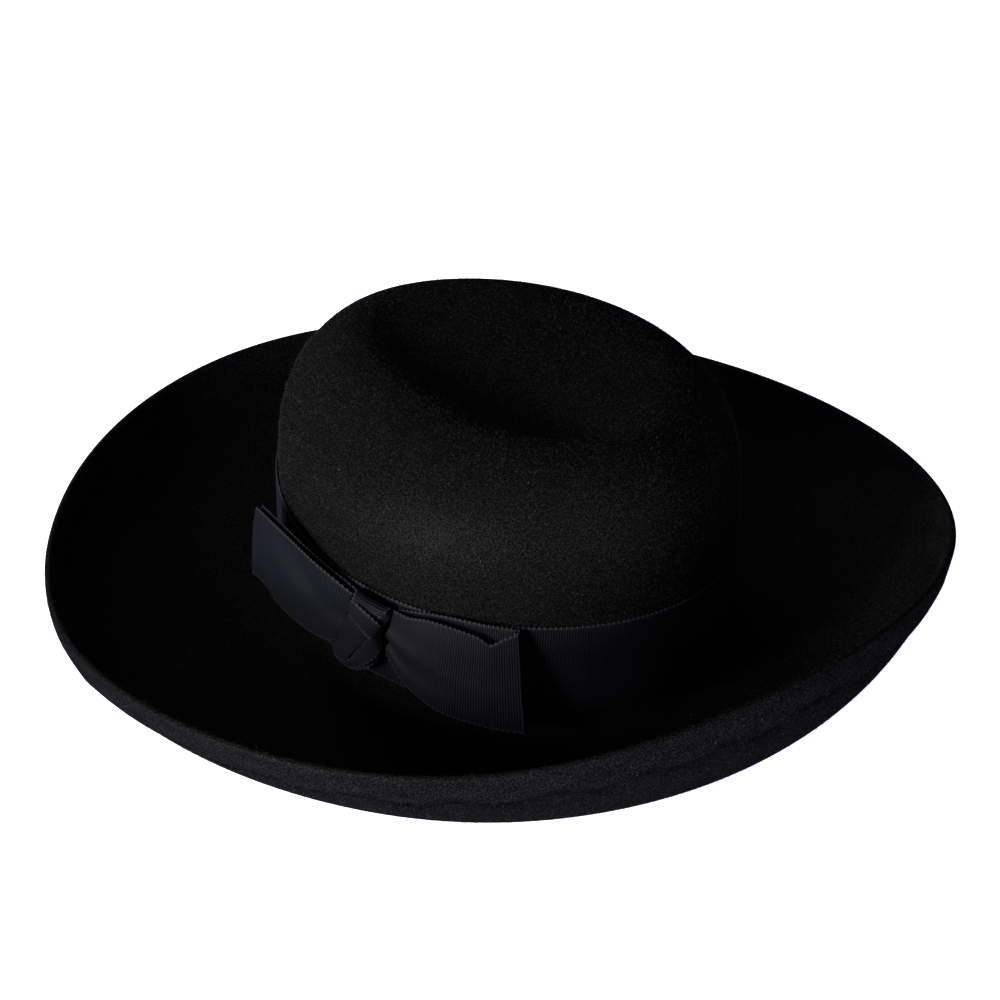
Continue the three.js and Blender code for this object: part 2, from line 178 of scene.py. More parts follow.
TUCK_STRIPS = {
    "front": [
        (191.1, 44.7, 6.2, 186.2, 23.8, 6.6),
        (192.4, 46.0, 8.2, 187.6, 24.4, 8.6),
        (194.2, 46.0, 9.4, 189.2, 25.1, 10.2),
        (196.0, 44.5, 9.8, 190.6, 25.7, 11.2),
        (197.7, 41.6, 9.8, 192.3, 26.2, 11.4),
    ],
    "fold": [
        (191.8, 25.4, 11.0, 192.0, 24.7, 10.8),
        (193.4, 27.9, 10.9, 193.1, 24.8, 10.6),
        (194.6, 31.8, 10.5, 194.9, 25.5, 10.3),
        (194.9, 35.3, 10.1, 196.5, 27.3, 9.8),
        (195.9, 37.5, 9.8, 198.1, 30.0, 9.2),
        (197.0, 39.9, 9.5, 199.3, 33.0, 8.0),
        (197.9, 41.4, 8.8, 199.7, 36.3, 6.6),
        (198.3, 42.1, 7, 199.4, 39.3, 4.8),
    ],
    "back": [
        (187.6, 23.3, 6.6, 187.5, 20.4, 7.0),
        (189.6, 26.0, 6.2, 190.6, 20.4, 7.6),
        (192.6, 30.5, 5.8, 193.8, 21.9, 7.8),
        (195.2, 34.4, 5.4, 196.4, 24.6, 7.4),
        (197.1, 36.5, 4.8, 198.4, 29.1, 6.2),
        (198.1, 37.8, 4.0, 199.2, 33.9, 4.6),
    ],
}
STRIP_BELLY = 0.5

# Creases of the two loops: where they start and end along and across the ribbon, as shares, and how far they
# rise from the crown
FRONT_CREASES = [
    {"start": (0.0, 0.68), "end": (0.31, 0.71), "rise": -2.6, "width": 0.035, "fade": 0.75},
    {"start": (0.0, 0.48), "end": (0.36, 0.6), "rise": 1.8, "width": 0.1, "fade": 0.6},
    {"start": (0.0, 0.85), "end": (0.25, 0.86), "rise": 0.5, "width": 0.06, "fade": 0.7},
]
BACK_CREASES = [
    {"start": (0.0, 0.62), "end": (0.11, 0.68), "rise": -1.1, "width": 0.035, "fade": 0.8},
    {"start": (0.03, 0.5), "end": (0.24, 0.1), "rise": -1.7, "width": 0.08, "fade": 0.4},
    {"start": (0.03, 0.8), "end": (0.33, 0.7), "rise": 1.1, "width": 0.11, "fade": 0.5},
    {"start": (0.2, 0.45), "end": (0.44, 0.25), "rise": 1.0, "width": 0.1, "fade": 0.3},
]

# Felt: rings of the frame's felt, counted from the middle of the dent over the crown and the brim's edge.
# Each moves off its place by so many millimetres to shape the turned edge, and the creased ones stay crisp.
WELT_RINGS = {31: -0.3, 37: -0.5, 38: 0.3, 39: -0.3}
WELT_CREASES = {30: 0.5, 38: 0.85, 39: 0.85}
# Painted light and shade: the colour of a ring is made lighter or darker by a share, with painted highlights
# where the lip and the turned edge catch the light and painted shade in the sunken lines beside them.
WELT_PAINTED_SHADING = {30: -0.4, 31: 0.3, 34: 0.3, 35: 0.35, 36: 0.25, 37: -0.25, 38: 0.4, 39: -0.7}
# The two poles, in the middle of the dent outside and inside, have more edges than this. The frame's loose
# facets are welded, and joined in pairs up to these angles in degrees, before they are smoothed.
POLE_EDGES = 30
FACET_WELD = 0.00001
QUAD_FACE_ANGLE = 60
QUAD_SHAPE_ANGLE = 120
FELT_SMOOTHING = 2

# Nap: short wool hairs that stand off the felt, on the crown and on the brim
CROWN_HAIRS = 48000
CROWN_SEED = 11
BRIM_HAIRS = 49000
BRIM_SEED = 13
# Felt past the crown's reach or under its foot is brim. The limit tells the crown's outside from its inside.
CROWN_REACH = 108
CROWN_FOOT = 18
INSIDE_LIMIT = 0.3
HAIR_LENGTH = (0.5, 1.7)
LONG_HAIR_SHARE = 0.015
LONG_HAIR_LENGTH = (2.5, 4.5)
HAIR_WIDTH = 0.075
HAIR_LEAN = (25, 80)
FLOOR_CLEAR = 0.2
# A hair's root is a triangle with one corner in front. The other two lie this far behind and to each side, as
# shares of half a hair's width.
ROOT_BEHIND = 0.5
ROOT_ASIDE = 0.87

# Stray lint. Each bit is a few fibres in a line, and lies where the photograph shows one: its places are
# counted from the photograph's left and upper edges, in pixels.
LINT_PLACES = [
    (127, 706), (395, 637), (743, 725), (762, 718), (942, 500), (529, 483), (536, 472), (451, 318),
    (398, 300), (560, 330), (600, 560), (480, 560), (338, 470), (690, 716), (715, 742),
]
LINT_SEED = 12
LINT_FIBRES = 3
LINT_LENGTH = 1.6
LINT_SHARES = (0.3, 0.7)
LINT_OVERLAP = 0.6
LINT_WIDTH = 0.16

# Speckle of wool and thread: how fine it is, and the range of the noise that is stretched to full contrast
SPECKLE_DETAIL = 3
SPECKLE_ROUGHNESS = 0.75
FELT_GRAIN = 1700
FELT_GRAIN_RANGE = (0.37, 0.63)
FELT_FLECK_POWER = 2
FELT_CLOUD = 25
FELT_CLOUD_RANGE = (0.3, 0.7)
FIBRE_RANGE = (0.35, 0.65)
THREAD_STRETCH = (3.0, 0.9, 1)
THREAD_FINENESS = 2.2
THREAD_RANGE = (0.3, 0.7)

# Colours and finish of the wool and the ribbon
FELT_DARK = (0.0018, 0.0016, 0.0017)
FELT_LIGHT = (0.0150, 0.0136, 0.0143)
FELT_CLOUD_TONE = (0.8, 0.8, 0.8)
FELT_ROUGHNESS = 0.95
FELT_GLOSS = 0.11
FELT_GLOSS_ROUGHNESS = 0.6
FELT_BUMP = {"strength": 1, "distance": 0.0005}
FIBRE_ROUGHNESS = 0.9
# Loose hairs are lighter than the felt: painted sheen where fibres catch the light, over their own uneven
# tone
HAIR_DARK = (0.008, 0.0075, 0.008)
HAIR_SHEEN_LIGHT = (0.06, 0.057, 0.06)
LINT_DARK = (0.04, 0.04, 0.045)
LINT_LIGHT = (0.16, 0.16, 0.17)
RIBBON_DARK = (0.0052, 0.0055, 0.008)
RIBBON_LIGHT = (0.0105, 0.011, 0.0158)
# Painted shade in the valleys between the cords
RIBBON_VALLEY_SHADE = (0.0006, 0.0006, 0.001)
# Painted highlight on the woven edges, brightest on the picot tops
SELVEDGE_HIGHLIGHT_COLOUR = (0.026, 0.027, 0.033)
RIBBON_ROUGHNESS = 0.8
RIBBON_GLOSS = 0.1
RIBBON_GLOSS_ROUGHNESS = 0.45
RIBBON_BUMP = {"strength": 0.4, "distance": 0.0001}
GLOSS_BLEND = 0.5
GLOSS_POWER = 2

# Pale floor. The camera sees it plain; its glow on the hat fades across it, away from the key light. Near and
# far are two distances that way, each with the strength of the glow there.
FLOOR_SIZE = 8
FLOOR_DROP = 0.0003
FLOOR_COLOUR = (0.8, 0.8, 0.8)
FLOOR_ROUGHNESS = 0.9
FLOOR_GLOW = (1.0, 1.07, 1.4)
FLOOR_FADE = (0.94, 0.34, 0)
FLOOR_NEAR = (-0.5, 3)
FLOOR_FAR = (0.3, 0.2)

# Soft boxes: name, azimuth, elevation, distance, size and power. The world is plain white to the camera, and
# dim to everything else.
LAMPS = [
    ("Key", -88, 15.5, 1.4, 0.3, 26),
    ("Key behind", -115, 9, 1.4, 0.3, 9),
    ("Back", 170, 6, 1.4, 0.5, 11),
    ("Back high", 165, 35, 1.4, 0.8, 3.5),
    ("Left", 100, 40, 1.4, 0.5, 0.5),
    ("Front", -18, 20, 1.4, 0.5, 2),
    ("Front low", -80, 2, 1.4, 0.15, 14),
]
LAMP_AIM = (0, 0, 0.05)
WORLD_DIM = 0.0015
WHITE = (1, 1, 1)

# Camera, fitted to the photograph's outline. It aims a little off a point above the middle of the crown.
PHOTO_SIDE = 1000
SENSOR_WIDTH = 36
FOCAL_PIXELS = 2581.3
CAMERA_AZIMUTH = -38.619
CAMERA_ELEVATION = 33.291
CAMERA_ROLL = -0.655
CAMERA_DISTANCE = 1.0388
AIM_HEIGHT = 46.05
AIM_RIGHT = 0.854
AIM_UP = 2.59


def clear_selection():
    for thing in bpy.context.selected_objects:
        thing.select_set(False)


def make_active(piece):
    clear_selection()
    piece.select_set(True)
    bpy.context.view_layer.objects.active = piece


# Crown's wall

def unit_oval(direction):
    """A point of the crown's oval, before it is scaled to its girth"""
    t = math.radians(direction)
    third = OVAL_THIRD[0] * math.cos(3 * t) + OVAL_THIRD[1] * math.sin(3 * t)
    fourth = OVAL_FOURTH[0] * math.cos(4 * t) + OVAL_FOURTH[1] * math.sin(4 * t)
    radius = 1 + third + fourth
    return Vector((radius * math.cos(t), OVAL_RATIO * radius * math.sin(t)))


OVAL_SCALE = CROWN_GIRTH / sum((unit_oval(d + 1) - unit_oval(d)).length for d in range(360))


def wall_girth(height):
    """The wall's girth at a height, as a share of the crown's"""
    level = min(max(height, WALL[0][0]), WALL[-1][0])
    for (low, low_girth), (high, high_girth) in zip(WALL, WALL[1:]):
        if level <= high:
            return low_girth + (high_girth - low_girth) * (level - low) / (high - low)
    return WALL[-1][1]


def off_wall(direction, height, out):
    """A point at a distance outside the crown's outer face, in millimetres"""
    point = unit_oval(direction) * OVAL_SCALE * wall_girth(height)
    along = (unit_oval(direction + WALL_NUDGE) - unit_oval(direction - WALL_NUDGE)).normalized()
    x = point.x + along.y * out + CROWN_LEAN * height
    y = point.y - along.x * out
    return Vector((x, y, height + FELT_THICKNESS / 2)) + CROWN_MIDDLE


# Ribbon

def spline_point(points, place, closed):
    """A point of the smooth curve through a list of points; place runs from 0 to the last point's number"""
    count = len(points)
    i = min(int(place), count - 1 if closed else count - 2)
    t = place - i

    def at(k):
        if closed:
            return points[k % count]
        if k < 0:
            return points[0] * 2 - points[1]
        if k >= count:
            return points[-1] * 2 - points[-2]
        return points[k]

    before, start, end, after = at(i - 1), at(i), at(i + 1), at(i + 2)
    return (start * 2 + (end - before) * t + (before * 2 - start * 5 + end * 4 - after) * t ** 2
            + (start * 3 - before - end * 3 + after) * t ** 3) / 2


def even_places(points, spacing, closed):
    """Places along the curve through the points, evenly spaced for whole picots, and the curve's length"""
    spans = len(points) if closed else len(points) - 1
    last_place = spans - CURVE_END
    places = [k / CURVE_STEPS for k in range(spans * CURVE_STEPS + 1)]
    curve = [spline_point(points, min(place, last_place), closed) for place in places]
    travelled = [0.0]
    for a, b in zip(curve, curve[1:]):
        travelled.append(travelled[-1] + (b - a).length)
    total = travelled[-1]
    picot = CORDS_PER_PICOT * COLUMNS_PER_CORD
    count = max(picot, picot * round(total / spacing / picot))
    result = []
    k = 0
    for n in range(count if closed else count + 1):
        wanted = total * n / count
        while k < len(travelled) - 2 and travelled[k + 1] < wanted:
            k += 1
        share = (wanted - travelled[k]) / max(travelled[k + 1] - travelled[k], NO_LENGTH)
        result.append(min(places[k] + share / CURVE_STEPS, last_place))
    return result, total


def edge_shares(width):
    """Places across the ribbon, from 0 to 1, close together at its woven edges"""
    edges = [inset / width for inset in EDGE_INSETS]
    inside = max(1, round((width - 2 * EDGE_INSETS[-1]) / ROW_SPACING))
    middle = [edges[-1] + (1 - 2 * edges[-1]) * k / inside for k in range(1, inside)]
    return edges + middle + [1 - e for e in reversed(edges)]


def ribbon_strip(name, sections, width, closed=False, creases=(), outward=1):
    """A ribbed strip of ribbon. sections are functions that give a point for a share of the way across it,
    and outward is 1 or -1 as its normals point away from the crown or to it."""
    shares = edge_shares(width)
    columns = [[section(share) for section in sections] for share in shares]
    middle = [section(0.5) for section in sections]
    places, length = even_places(middle, CORD_PITCH / COLUMNS_PER_CORD, closed)
    grid = [[spline_point(column, place, closed) for column in columns] for place in places]
    count = len(grid)
    rows = len(shares)
    pitch = length / (count if closed else count - 1) * COLUMNS_PER_CORD
    half_cord = COLUMNS_PER_CORD // 2

    def grid_row(i):
        if closed:
            return grid[i % count]
        return grid[min(max(i, 0), count - 1)]

    upper, lower, coordinates, cords, edges = [], [], [], [], []
    for i in range(count):
        travelled = i * pitch / COLUMNS_PER_CORD
        cord = abs(math.cos(math.pi * travelled / pitch))
        picot = abs(math.cos(math.pi * travelled / (CORDS_PER_PICOT * pitch)))
        for j in range(rows):
            along = grid_row(i + half_cord)[j] - grid_row(i - half_cord)[j]
            across = grid[i][min(j + 1, rows - 1)] - grid[i][max(j - 1, 0)]
            normal = along.cross(across).normalized()
            inset = min(shares[j], 1 - shares[j]) * width / SELVEDGE_WIDTH
            point = grid[i][j].copy()
            if j in (0, rows - 1):
                point += across.normalized() * (PICOT_REACH * picot * (-1 if j == 0 else 1))
            for crease in creases:
                point += normal * (outward * crease_rise(crease, travelled / length, shares[j]))
            thickness = min(1, SELVEDGE_THINNING + inset * (1 - SELVEDGE_THINNING))
            half = thickness * (RIBBON_CORE / 2 + CORD_RISE * cord)
            upper.append((point + normal * half) * MM)
            lower.append((point - normal * half) * MM)
            coordinates.append((travelled, shares[j] * width))
            # Colour masks: painted shade in the valleys between cords, and painted highlight along the woven
            # edges, brightest on the picot tops
            cords.append(cord ** CORD_SHADE_SHARPNESS)
            edges.append(max(0, 1 - inset) * (PICOT_HIGHLIGHT_BASE + (1 - PICOT_HIGHLIGHT_BASE) * picot ** PICOT_HIGHLIGHT_SHARPNESS))
    piece = strip_object(name, upper, lower, coordinates, count, rows, closed)
    for label, values in (("Cord shading", cords), ("Selvedge highlight", edges)):
        attribute = piece.data.attributes.new(label, "FLOAT", "POINT")
        attribute.data.foreach_set("value", values + values)
    return piece


def crease_rise(crease, along, across):
    """How far a crease lifts the ribbon at a place; it fades along its length and to both sides"""
    start = Vector(crease["start"])
    end = Vector(crease["end"])
    line = end - start
    place = Vector((along, across)) - start
    share = min(max(place.dot(line) / line.length_squared, 0), 1)
    aside = (place - line * share).length
    fade = 1 - share * crease["fade"]
    return crease["rise"] * fade * math.exp(-(aside / crease["width"]) ** 2)


def strip_object(name, upper, lower, coordinates, count, rows, closed):
    """A closed shell from the points of a strip's two faces. coordinates give its weave, in millimetres."""
    total = count * rows
    vertices = upper + lower
    faces = []
    spans = count if closed else count - 1
    for i in range(spans):
        here, there = i * rows, ((i + 1) % count) * rows
        for j in range(rows - 1):
            faces.append((here + j, there + j, there + j + 1, here + j + 1))
            faces.append((total + here + j, total + here + j + 1, total + there + j + 1, total + there + j))
        faces.append((here, total + here, total + there, there))
        faces.append((here + rows - 1, there + rows - 1, total + there + rows - 1, total + here + rows - 1))
    if not closed:
        for j in range(rows - 1):
            faces.append((j, j + 1, total + j + 1, total + j))
            end = (count - 1) * rows
            faces.append((end + j, total + end + j, total + end + j + 1, end + j + 1))
    mesh = bpy.data.meshes.new(name)
    mesh.from_pydata(vertices, [], faces)
    weave = mesh.uv_layers.new(name="Weave")
    turn = max(c[0] for c in coordinates) + CORD_PITCH / COLUMNS_PER_CORD
    for polygon in mesh.polygons:
        numbers = [mesh.loops[k].vertex_index % total for k in polygon.loop_indices]
        wraps = closed and max(numbers) - min(numbers) > rows * 2
        for k, number in zip(polygon.loop_indices, numbers):
            along, across = coordinates[number]
            if wraps and number < rows:
                along += turn
            weave.data[k].uv = (along, across)
    mesh.validate()
    piece = bpy.data.objects.new(name, mesh)
    bpy.context.scene.collection.objects.link(piece)
    make_active(piece)
    bpy.ops.object.mode_set(mode="EDIT")
    bpy.ops.mesh.select_all(action="SELECT")
    bpy.ops.mesh.normals_make_consistent(inside=False)
    bpy.ops.object.mode_set(mode="OBJECT")
    bpy.ops.object.shade_smooth()
    return piece


def band_sections():
    """Sections of the band, all round the crown"""
    def section(direction):
        t = math.radians(direction)
        bottom = BAND["bottom"] - BAND["rise_to_right"] * math.cos(t) + BAND["rise_to_back"] * math.sin(t)
        return lambda share: off_wall(direction, bottom + share * RIBBON_WIDTH, BAND["out"])

    return [section(direction) for direction in range(0, 360, BAND_STEP)]


def across_loop(values):
    """A section of a bow loop from one row of its table"""
    row = dict(zip(LOOP_COLUMNS, values))

    def section(share):
        bulge = row["belly"] * math.sin(math.pi * share)
        out = row["top_out"] + (row["bottom_out"] - row["top_out"]) * share + bulge
        height = row["top"] + (row["bottom"] - row["top"]) * share
        return off_wall(row["direction"] + share * row["skew"], height, out)

    return section


def loop_sections(outer, inner, turn):
    """Out along the outer layer, round a fold, and back along the inner layer"""
    before = across_loop(outer[-1])
    after = across_loop(inner[0])

    def fold(angle):
        def section(share):
            start, end = before(share), after(share)
            across = end - start
            away = Vector((-across.y, across.x, 0)).normalized() * turn
            reach = across.length / 2
            place = (1 - math.cos(math.radians(angle))) / 2
            return start + across * place + away * reach * math.sin(math.radians(angle))

        return section

    out_along = [across_loop(row) for row in outer]
    round_fold = [fold(angle) for angle in FOLD_ANGLES]
    back_along = [across_loop(row) for row in inner]
    return out_along + round_fold + back_along


def strip_sections(rows):
    """Sections of a strip whose rows give its two edges; it swells a little between them"""
    def section(values):
        row = dict(zip(STRIP_COLUMNS, values))

        def point(share):
            swell = STRIP_BELLY * math.sin(math.pi * share)
            direction = row["left"] + (row["right"] - row["left"]) * share
            height = row["left_height"] + (row["right_height"] - row["left_height"]) * share
            out = row["left_out"] + (row["right_out"] - row["left_out"]) * share
            return off_wall(direction, height, out + swell)

        return point

    return [section(values) for values in rows]


def join_strips(name, strips):
    """Several strips of ribbon as one piece"""
    pieces = []
    for part, rows in strips.items():
        sections = strip_sections(rows)
        width = sum((section(1) - section(0)).length for section in sections) / len(sections)
        pieces.append(ribbon_strip(name + "_" + part, sections, width))
    clear_selection()
    for piece in pieces:
        piece.select_set(True)
    bpy.context.view_layer.objects.active = pieces[0]
    bpy.ops.object.join()
    pieces[0].name = name
    pieces[0].data.name = name
    return pieces[0]


# Felt

def ring_numbers(mesh):
    """How many rings each vertex lies from the middle of the dent, counted along the mesh's edges"""
    neighbours = [[] for _ in mesh.vertices]
    for edge in mesh.edges:
        a, b = edge.vertices
        neighbours[a].append(b)
        neighbours[b].append(a)
    poles = [v.index for v in mesh.vertices if len(neighbours[v.index]) > POLE_EDGES]
    top = max(poles, key=lambda i: mesh.vertices[i].co.z)
    rings = {top: 0}
    line = [top]
    for vertex in line:
        for other in neighbours[vertex]:
            if other not in rings:
                rings[other] = rings[vertex] + 1
                line.append(other)
    return [rings[v.index] for v in mesh.vertices]


def shape_welt(skin):
    """Moves and creases the rings of the turned edge with its stitching, and gives them painted highlights
    and shade
    """
    mesh = skin.data
    rings = ring_numbers(mesh)
    normals = [v.normal.copy() for v in mesh.vertices]
    for vertex, ring, normal in zip(mesh.vertices, rings, normals):
        vertex.co += normal * (WELT_RINGS.get(ring, 0) * MM)
    # Painted highlights and shade on the rings of the turned edge: lighter where it catches the light, darker
    # in its sunken lines
    welt_shading_values = mesh.attributes.new("Welt painted shading", "FLOAT", "POINT")
    welt_shading_values.data.foreach_set("value", [WELT_PAINTED_SHADING.get(ring, 0) for ring in rings])
    crease = mesh.attributes.new("crease_edge", "FLOAT", "EDGE")
    for edge in mesh.edges:
        a, b = (rings[i] for i in edge.vertices)
        if a == b:
            crease.data[edge.index].value = WELT_CREASES.get(a, 0)


def felt_skin():
    """The crown and brim: the frame's felt with its facets smoothed out and its turned edge kept crisp"""
    source = frame["nodes"]["felt_body"]
    skin = source.copy()
    skin.data = source.data.copy()
    skin.name = "felt_crown_and_brim"
    skin.data.name = skin.name
    skin.data.materials.clear()
    skin.parent = None
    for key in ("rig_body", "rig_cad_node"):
        if key in skin:
            del skin[key]
    bpy.context.scene.collection.objects.link(skin)
    make_active(skin)
    bpy.ops.object.mode_set(mode="EDIT")
    bpy.ops.mesh.select_all(action="SELECT")
    bpy.ops.mesh.remove_doubles(threshold=FACET_WELD)
    bpy.ops.mesh.tris_convert_to_quads(
        face_threshold=math.radians(QUAD_FACE_ANGLE), shape_threshold=math.radians(QUAD_SHAPE_ANGLE))
    bpy.ops.object.mode_set(mode="OBJECT")
    shape_welt(skin)
    smooth = skin.modifiers.new("Smooth felt", "SUBSURF")
    smooth.levels = FELT_SMOOTHING
    smooth.render_levels = FELT_SMOOTHING
    bpy.ops.object.modifier_apply(modifier=smooth.name)
    bpy.ops.object.shade_smooth()
    return skin


# Nap and lint

def add_spike(vertices, faces, root, tip, width):
    """A hair: a thin three-sided spike from its root to its tip"""
    along = (tip - root).normalized()
    side = along.orthogonal().normalized() * width
    behind = root - side * ROOT_BEHIND
    aside = along.cross(side) * ROOT_ASIDE
    a = len(vertices)
    b, c, end = a + 1, a + 2, a + 3
    vertices.extend([root + side, behind + aside, behind - aside, tip])
    faces.extend([(a, c, b), (a, b, end), (b, c, end), (c, a, end)])


def spike_piece(name, vertices, faces):
    """All the hairs of one piece as a single mesh"""
    mesh = bpy.data.meshes.new(name)
    mesh.from_pydata(vertices, [], faces)
    mesh.validate()
    piece = bpy.data.objects.new(name, mesh)
    bpy.context.scene.collection.objects.link(piece)
    return piece


def hair_tip(draw, root, normal, length):
    """Where a hair ends that leans off the felt in a drawn direction"""
    lean = math.radians(draw.uniform(*HAIR_LEAN))
    turn = draw.uniform(0, 2 * math.pi)
    side = normal.orthogonal().normalized()
    flat = side * math.cos(turn) + normal.cross(side) * math.sin(turn)
    return root + (normal * math.cos(lean) + flat * math.sin(lean)) * length


def nap_faces(mesh):
    """Numbers of the felt's faces on the crown and on the brim, without the inside of the crown"""
    crown, brim = [], []
    for polygon in mesh.polygons:
        away = polygon.center - CROWN_MIDDLE * MM
        level = away.z
        away.z = 0
        if away.length > CROWN_REACH * MM or level < CROWN_FOOT * MM:
            brim.append(polygon.index)
            continue
        inward = polygon.normal.z < INSIDE_LIMIT and polygon.normal.dot(away) < 0
        if not inward and polygon.normal.z > -INSIDE_LIMIT:
            crown.append(polygon.index)
    return crown, brim


def felt_hairs(name, mesh, numbers, count, seed):
    """Short hairs spread evenly over some faces of the felt, with a few long ones"""
    draw = random.Random(seed)
    shares, total = [], 0.0
    for number in numbers:
        total += mesh.polygons[number].area
        shares.append(total)
    vertices, faces = [], []
    for _ in range(count):
        chosen = bisect.bisect_left(shares, draw.random() * total)
        polygon = mesh.polygons[numbers[chosen]]
        corners = [mesh.vertices[i].co for i in polygon.vertices]
        first_side = corners[0].lerp(corners[1], draw.random())
        root = first_side.lerp(corners[-1].lerp(corners[2], draw.random()), draw.random())
        long_one = draw.random() < LONG_HAIR_SHARE
        length = draw.uniform(*(LONG_HAIR_LENGTH if long_one else HAIR_LENGTH)) * MM
        tip = hair_tip(draw, root, polygon.normal, length)
        if tip.z > FLOOR_CLEAR * MM:
            add_spike(vertices, faces, root, tip, HAIR_WIDTH * MM / 2)
    return spike_piece(name, vertices, faces)


def stray_lint(skin):
    """Bits of pale lint that lie where the photograph shows them"""
    draw = random.Random(LINT_SEED)
    aim, right, up, back = camera_axes()
    eye = aim + back * CAMERA_DISTANCE
    middle = PHOTO_SIDE / 2
    vertices, faces = [], []
    for x, y in LINT_PLACES:
        ray = right * ((x - middle) / FOCAL_PIXELS) + up * ((middle - y) / FOCAL_PIXELS) - back
        found, place, normal, _ = skin.ray_cast(eye, ray.normalized())
        if not found:
            continue
        root = place + normal * (LINT_WIDTH * MM)
        for _ in range(LINT_FIBRES):
            length = LINT_LENGTH * draw.uniform(*LINT_SHARES) * MM
            tip = hair_tip(draw, root, normal, length)
            add_spike(vertices, faces, root, tip, LINT_WIDTH * MM / 2)
            root = root.lerp(tip, LINT_OVERLAP)
    return spike_piece("stray_lint", vertices, faces)


# Materials

def new_material(name):
    material = bpy.data.materials.new(name)
    material.use_nodes = True
    return material, material.node_tree.nodes, material.node_tree.links


def fill_socket(links, socket, value):
    """Gives a socket its value: another socket, a colour's three numbers or one number"""
    if isinstance(value, bpy.types.NodeSocket):
        links.new(value, socket)
    elif isinstance(value, tuple):
        socket.default_value = (*value, 1)
    else:
        socket.default_value = value


def calculate(nodes, links, operation, first, second):
    """The result of one sum; each side is a socket or a number"""
    node = nodes.new("ShaderNodeMath")
    node.operation = operation
    fill_socket(links, node.inputs[0], first)
    fill_socket(links, node.inputs[1], second)
    return node.outputs[0]


def speckle_group():
    """Fine uneven speckle of wool and thread: a value that changes from fibre to fibre"""
    group = bpy.data.node_groups.new("Fibre speckle", "ShaderNodeTree")
    group.interface.new_socket("Place", in_out="INPUT", socket_type="NodeSocketVector")
    for name in ("Fineness", "Low", "High"):
        group.interface.new_socket(name, in_out="INPUT", socket_type="NodeSocketFloat")
    group.interface.new_socket("Speckle", in_out="OUTPUT", socket_type="NodeSocketFloat")
    nodes, links = group.nodes, group.links
    given = nodes.new("NodeGroupInput")
    texture = nodes.new("ShaderNodeTexNoise")
    texture.inputs["Detail"].default_value = SPECKLE_DETAIL
    texture.inputs["Roughness"].default_value = SPECKLE_ROUGHNESS
    spread = nodes.new("ShaderNodeMapRange")
    result = nodes.new("NodeGroupOutput")
    links.new(given.outputs["Place"], texture.inputs["Vector"])
    links.new(given.outputs["Fineness"], texture.inputs["Scale"])
    links.new(texture.outputs["Fac"], spread.inputs["Value"])
    links.new(given.outputs["Low"], spread.inputs["From Min"])
    links.new(given.outputs["High"], spread.inputs["From Max"])
    links.new(spread.outputs["Result"], result.inputs["Speckle"])
    return group


def speckle_node(nodes, links, place, fineness, noise_range):
    """The speckle, placed in a material with its own values"""
    node = nodes.new("ShaderNodeGroup")
    node.node_tree = bpy.data.node_groups.get("Fibre speckle") or speckle_group()
    node.inputs["Fineness"].default_value = fineness
    node.inputs["Low"].default_value, node.inputs["High"].default_value = noise_range
    links.new(place, node.inputs["Place"])
    return node.outputs["Speckle"]


def mix_colours(nodes, links, factor, first, second, blend="MIX"):
    """A mix of two colours; each is a socket or three numbers"""
    mix = nodes.new("ShaderNodeMix")
    mix.data_type = "RGBA"
    mix.blend_type = blend
    links.new(factor, mix.inputs["Factor"])
    fill_socket(links, mix.inputs["A"], first)
    fill_socket(links, mix.inputs["B"], second)
    return mix.outputs["Result"]


def attribute_value(nodes, name):
    attribute = nodes.new("ShaderNodeAttribute")
    attribute.attribute_name = name
    return attribute.outputs["Fac"]


def facing_gloss(nodes, links, shader, amount, mask):
    """A soft gloss that fades where the surface turns away, as on matt fibres. mask varies it."""
    layer = nodes.new("ShaderNodeLayerWeight")
    layer.inputs["Blend"].default_value = GLOSS_BLEND
    square_on = calculate(nodes, links, "SUBTRACT", 1, layer.outputs["Facing"])
    faded = calculate(nodes, links, "POWER", square_on, GLOSS_POWER)
    strength = calculate(nodes, links, "MULTIPLY", faded, amount)
    uneven = calculate(nodes, links, "MULTIPLY", strength, mask)
    links.new(uneven, shader.inputs["Coat Weight"])


def fibre_bump(nodes, links, shader, height, strength, distance):
    """Fine relief of fibres or threads"""
    bump = nodes.new("ShaderNodeBump")
    bump.inputs["Strength"].default_value = strength
    bump.inputs["Distance"].default_value = distance
    links.new(height, bump.inputs["Height"])
    links.new(bump.outputs["Normal"], shader.inputs["Normal"])


